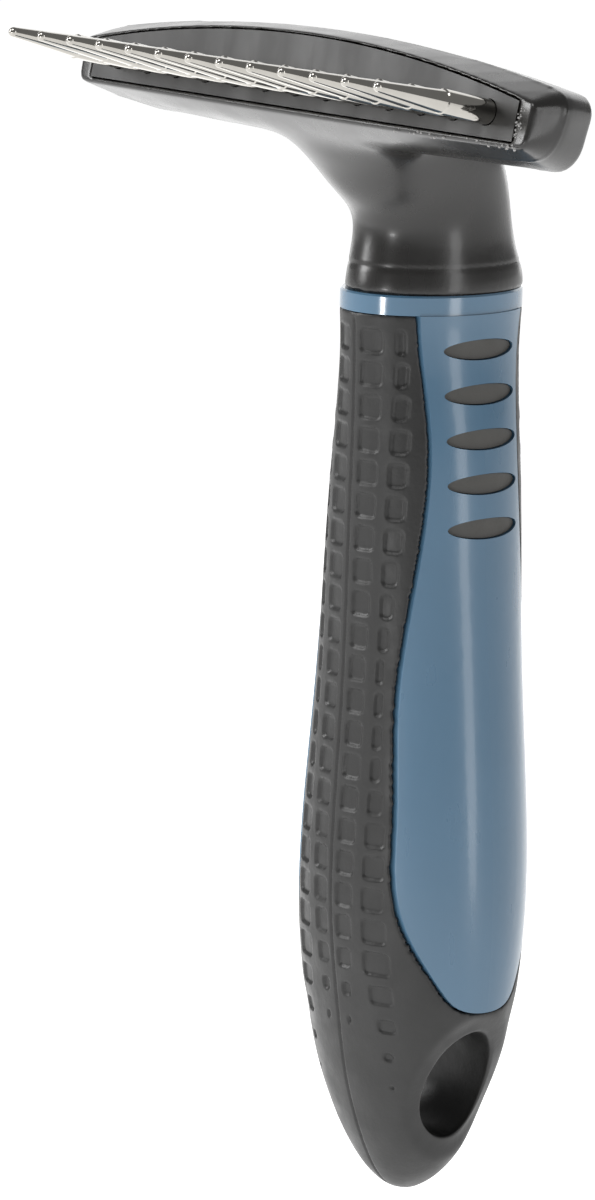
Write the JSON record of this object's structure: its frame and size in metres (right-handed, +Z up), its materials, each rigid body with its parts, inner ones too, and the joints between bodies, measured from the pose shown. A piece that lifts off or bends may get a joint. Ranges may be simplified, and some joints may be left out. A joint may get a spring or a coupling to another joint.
{
  "type": "undercoat rake",
  "caption": "Handheld undercoat rake: wide bar head with one row of turning steel pins, goose neck, soft-grip handle with side panels and a hanging hole.",
  "frame": {"origin": "centre of the hanging hole in the handle's tail", "axes": "+Z up the handle towards the head, pins pointing towards -Y, head bar along X"},
  "size_m": [0.1002, 0.0607, 0.1682],
  "materials": {
    "head_plastic": "semi-gloss moulded, dark brown-grey",
    "ring_plastic": "glossy moulded, grey-blue",
    "core_plastic": "matte moulded, black",
    "grip_rubber": "satin soft-touch, black",
    "panel_plastic": "satin-gloss moulded, grey-blue",
    "pin_steel": "polished, nickel-plated"
  },
  "bodies": {
    "root": {"head_body": "head_plastic", "pin_plate": "head_plastic", "collar_ring": "ring_plastic", "handle_core": "core_plastic", "rubber_grip": "grip_rubber", "side_panel_right": "panel_plastic", "side_panel_left": "panel_plastic", "finger_pads_right": "grip_rubber", "finger_pads_left": "grip_rubber"},
    "pin_01": {"pin_01": "pin_steel"},
    "pin_02": {"pin_02": "pin_steel"},
    "pin_03": {"pin_03": "pin_steel"},
    "pin_04": {"pin_04": "pin_steel"},
    "pin_05": {"pin_05": "pin_steel"},
    "pin_06": {"pin_06": "pin_steel"},
    "pin_07": {"pin_07": "pin_steel"},
    "pin_08": {"pin_08": "pin_steel"},
    "pin_09": {"pin_09": "pin_steel"},
    "pin_10": {"pin_10": "pin_steel"},
    "pin_11": {"pin_11": "pin_steel"},
    "pin_12": {"pin_12": "pin_steel"},
    "pin_13": {"pin_13": "pin_steel"}
  },
  "joints": [
    {"name": "pin_01_spin", "type": "hinge", "parent": "root", "child": "pin_01", "pos_m": [-0.03978, -0.02565, 0.1434], "axis": [0, -0.9767, 0.2147], "continuous": true},
    {"name": "pin_02_spin", "type": "hinge", "parent": "root", "child": "pin_02", "pos_m": [-0.03315, -0.02565, 0.1434], "axis": [0, -0.9767, 0.2147], "continuous": true},
    {"name": "pin_03_spin", "type": "hinge", "parent": "root", "child": "pin_03", "pos_m": [-0.02652, -0.02565, 0.1434], "axis": [0, -0.9767, 0.2147], "continuous": true},
    {"name": "pin_04_spin", "type": "hinge", "parent": "root", "child": "pin_04", "pos_m": [-0.01989, -0.02565, 0.1434], "axis": [0, -0.9767, 0.2147], "continuous": true},
    {"name": "pin_05_spin", "type": "hinge", "parent": "root", "child": "pin_05", "pos_m": [-0.01326, -0.02565, 0.1434], "axis": [0, -0.9767, 0.2147], "continuous": true},
    {"name": "pin_06_spin", "type": "hinge", "parent": "root", "child": "pin_06", "pos_m": [-0.00663, -0.02565, 0.1434], "axis": [0, -0.9767, 0.2147], "continuous": true},
    {"name": "pin_07_spin", "type": "hinge", "parent": "root", "child": "pin_07", "pos_m": [0, -0.02565, 0.1434], "axis": [0, -0.9767, 0.2147], "continuous": true},
    {"name": "pin_08_spin", "type": "hinge", "parent": "root", "child": "pin_08", "pos_m": [0.00663, -0.02565, 0.1434], "axis": [0, -0.9767, 0.2147], "continuous": true},
    {"name": "pin_09_spin", "type": "hinge", "parent": "root", "child": "pin_09", "pos_m": [0.01326, -0.02565, 0.1434], "axis": [0, -0.9767, 0.2147], "continuous": true},
    {"name": "pin_10_spin", "type": "hinge", "parent": "root", "child": "pin_10", "pos_m": [0.01989, -0.02565, 0.1434], "axis": [0, -0.9767, 0.2147], "continuous": true},
    {"name": "pin_11_spin", "type": "hinge", "parent": "root", "child": "pin_11", "pos_m": [0.02652, -0.02565, 0.1434], "axis": [0, -0.9767, 0.2147], "continuous": true},
    {"name": "pin_12_spin", "type": "hinge", "parent": "root", "child": "pin_12", "pos_m": [0.03315, -0.02565, 0.1434], "axis": [0, -0.9767, 0.2147], "continuous": true},
    {"name": "pin_13_spin", "type": "hinge", "parent": "root", "child": "pin_13", "pos_m": [0.03978, -0.02565, 0.1434], "axis": [0, -0.9767, 0.2147], "continuous": true}
  ]
}
